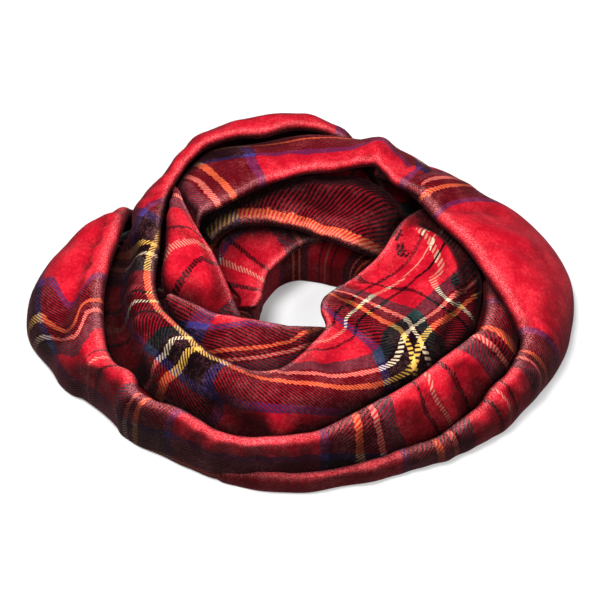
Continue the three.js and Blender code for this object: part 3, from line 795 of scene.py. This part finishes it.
class Shader:
    """One material. node() adds a node from its type, its settings, and its sockets' values or links."""

    def __init__(self, name):
        self.material = bpy.data.materials.new(name)
        self.material.use_nodes = True
        self.tree = self.material.node_tree
        self.surface = self.tree.nodes["Principled BSDF"]

    def feed(self, socket, value):
        if isinstance(value, Wire):
            self.tree.links.new(value.socket, socket)
        else:
            socket.default_value = value

    def node(self, kind, settings, values, output=0):
        made = self.tree.nodes.new(kind)
        for key, value in settings.items():
            setattr(made, key, value)
        entries = values.items() if isinstance(values, dict) else enumerate(values)
        for key, value in entries:
            self.feed(made.inputs[key], value)
        return Wire(self, made.outputs[output])

    def ramp(self, position, stops):
        """A ramp without blending, from a list of places and colours. Gives its colour and its alpha."""
        made = self.tree.nodes.new("ShaderNodeValToRGB")
        made.color_ramp.interpolation = "CONSTANT"
        elements = made.color_ramp.elements
        elements[0].position, elements[0].color = stops[0]
        elements[1].position, elements[1].color = stops[-1]
        for place, colour in stops[1:-1]:
            elements.new(place).color = colour
        self.feed(made.inputs[0], position)
        return Wire(self, made.outputs[0]), Wire(self, made.outputs[1])

    def two(self, place):
        """The first two coordinates of a place, in millimetres."""
        split = self.tree.nodes.new("ShaderNodeSeparateXYZ")
        self.feed(split.inputs[0], place)
        return [Wire(self, split.outputs[k]) / MM for k in (0, 1)]

    def blend(self, factor, a, b, how="MIX"):
        return self.node("ShaderNodeMix", {"data_type": "RGBA", "blend_type": how, "clamp_factor": True},
                         {0: factor, 6: a, 7: b}, output=2)

    def scaled(self, colour, amount):
        """A colour times a number."""
        grey = self.node("ShaderNodeCombineColor", {}, [amount, amount, amount])
        return self.blend(1.0, colour, grey, "MULTIPLY")


def srgb(red, green, blue):
    """Screen values from 0 to 255, as the linear colour that a shader takes."""
    shares = [c / 255 for c in (red, green, blue)]
    linear = [c / 12.92 if c <= 0.04045 else ((c + 0.055) / 1.055) ** 2.4 for c in shares]
    return (*linear, 1.0)


# %% The threads and their order
THREADS = {
    "red": srgb(194, 13, 36),
    "blue": srgb(62, 50, 122),
    "black": srgb(22, 3, 9),
    "yellow": srgb(255, 196, 92),
    "white": srgb(248, 222, 186),
    "green": srgb(34, 62, 60),
}
KIND = {"yellow": 1.0, "white": 1.0, "red": 0.5}
SETT = [("red", 46), ("blue", 6), ("black", 18), ("yellow", 3.5), ("black", 6.5), ("white", 3.5),
        ("black", 2), ("green", 10), ("red", 17), ("black", 2.5), ("red", 7), ("white", 1.75)]
HALF_SETT = sum(width for _, width in SETT)
TWILL = 2.5
RAGGED = 3.4


def sett_stops():
    """Each stop is the width of all stripes before it, as a share of half the pattern. A stop's alpha
    is 1 on a pale thread, a half on a red one and 0 on a dark one."""
    edges = np.cumsum([0] + [width for _, width in SETT[:-1]]) / HALF_SETT
    colours = [(*THREADS[thread][:3], KIND.get(thread, 0.0)) for thread, _ in SETT]
    return list(zip(edges.tolist(), colours))


print("half the pattern is", HALF_SETT, "mm wide")


# %% The plush itself
# The pale pink of the painted sheen and rim highlight.
PAINTED_SHEEN = srgb(255, 172, 172)


def plush(name, darkest, full):
    """Colour = one thread or the other by a twill's diagonals, partly the darker of the two, times a
    soft nap of noise and a painted shade from the openness, with a painted pink sheen and highlight on
    the rims and in soft patches. darkest is the share of colour that the deepest fold keeps under the
    painted shade, and from an openness of full all of it is kept."""
    s = Shader(name)
    cloth, weave = (s.node("ShaderNodeUVMap", {"uv_map": name}, []) for name in ("cloth", "weave"))
    place = s.node("ShaderNodeTexCoord", {}, [], output="Object")
    noise = "ShaderNodeTexNoise"
    tufts = s.node(noise, {}, {"Vector": place, "Scale": 420.0, "Detail": 3.0, "Roughness": 0.65})
    patches = s.node(noise, {}, {"Vector": place, "Scale": 60.0, "Detail": 3.0})
    fine = s.node(noise, {}, {"Vector": place, "Scale": 1400.0, "Detail": 2.0})
    u, v = s.two(cloth)
    ragged = (tufts - 0.5) * RAGGED
    (along, kind_along), (across, kind_across) = (
        s.ramp((way + ragged).maths("PINGPONG", HALF_SETT) / HALF_SETT, sett_stops()) for way in (u, v))
    weft, warp = s.two(weave)
    diagonal = ((weft + warp + (tufts - 0.5) * 0.8) * (2 * math.pi / TWILL)).maths("SINE")
    over = (diagonal * 0.9 + 0.5).clamped()
    woven = s.blend(over, along, across)
    matted = s.blend(1.0, along, across, "DARKEN")
    pale = kind_along.maths("MAXIMUM", kind_across).maths("GREATER_THAN", 0.75)
    on_red = pale * kind_along.maths("MINIMUM", kind_across).maths("GREATER_THAN", 0.25)
    colour = s.blend(pale * 0.35 - on_red * 0.5 + 0.45, matted, woven)
    nap = tufts * 0.7 + patches * 1.1 + 0.1
    # painted shade: the colour is darkened by the open attribute, down to darkest in the deepest folds
    sky = s.node("ShaderNodeAttribute", {"attribute_name": "open"}, [], output="Fac")
    painted_fold_shade = s.node("ShaderNodeMapRange", {"interpolation_type": "SMOOTHSTEP"},
                   {"Value": sky, "From Min": 0.06, "From Max": full, "To Min": darkest, "To Max": 1.0})
    colour = s.scaled(colour, nap * painted_fold_shade)
    # painted highlight and sheen: the rim mask and soft noise patches lighten the colour towards a pale
    # pink, in fine speckles
    rim = s.node("ShaderNodeAttribute", {"attribute_name": "rim"}, [], output="Fac")
    speckle = (fine * 5.0 - 2.1).clamped()
    painted_sheen = ((painted_fold_shade * 0.8 + 0.2) * speckle * (rim + (patches + tufts - 0.95) * 0.8)).clamped()
    colour = s.blend(painted_sheen * 0.4, s.scaled(colour, painted_sheen * 0.5 + 1.0), PAINTED_SHEEN)
    s.feed(s.surface.inputs["Base Color"], colour)
    s.surface.inputs["Roughness"].default_value = 0.92
    s.surface.inputs["Specular IOR Level"].default_value = 0.06
    s.surface.inputs["Sheen Weight"].default_value = 0.1
    s.surface.inputs["Sheen Roughness"].default_value = 0.35
    s.surface.inputs["Sheen Tint"].default_value = srgb(255, 120, 145)
    height = diagonal * 0.2 + tufts * 1.3
    bump = s.node("ShaderNodeBump", {}, {"Strength": 0.6, "Distance": 0.0007, "Height": height})
    s.feed(s.surface.inputs["Normal"], bump)
    return s.material


# The three copies differ only in their painted shade: how much colour the deepest fold keeps, and from
# what openness none is taken.
outside = plush("tartan_plush", 0.06, 0.7)
inside = plush("tartan_plush_inner", 0.03, 0.9)
hidden = plush("tartan_plush_hidden", 0.16, 0.8)
for cloth in OUTER:
    cloth.data.materials.append(outside)
for cloth in INNER:
    cloth.data.materials.append(inside)
under.data.materials.append(hidden)

# %% [markdown]

# %% [markdown]
# A plain pale floor and soft light from large lamps show the folds. The strongest lamp is high and a
# little behind, so that the rims are bright and the valleys stay dark.

# %% The floor and the lamps
FLOOR_HALF = 3.0
FLOOR_UP = -0.0006
ground = bpy.data.meshes.new("floor")
corners = [(x * FLOOR_HALF, y * FLOOR_HALF, FLOOR_UP) for x, y in ((-1, -1), (1, -1), (1, 1), (-1, 1))]
ground.from_pydata(corners, [], [(0, 1, 2, 3)])
floor = bpy.data.objects.new("floor", ground)
bpy.context.scene.collection.objects.link(floor)
pale = Shader("pale_floor")
pale.surface.inputs["Base Color"].default_value = (0.9, 0.9, 0.9, 1.0)
pale.surface.inputs["Roughness"].default_value = 0.9
ground.materials.append(pale.material)

LAMPS = [
    ("key", (-0.35, -0.05, 1.5), 0.6, 21.0),
    ("fill", (0.7, -1.2, 1.2), 0.8, 22.0),
    ("left", (-1.2, -0.3, 0.9), 0.8, 5.0),
]
for name, place, size, power in LAMPS:
    lamp = bpy.data.lights.new(name, "AREA")
    lamp.size = size
    lamp.energy = power
    aimed(lamp, place, tuple(TARGET))
world = bpy.context.scene.world or bpy.data.worlds.new("world")
bpy.context.scene.world = world
world.use_nodes = True
world.node_tree.nodes["Background"].inputs["Color"].default_value = (1.0, 1.0, 1.0, 1.0)
world.node_tree.nodes["Background"].inputs["Strength"].default_value = 0.25
bpy.context.scene.view_settings.view_transform = "Standard"
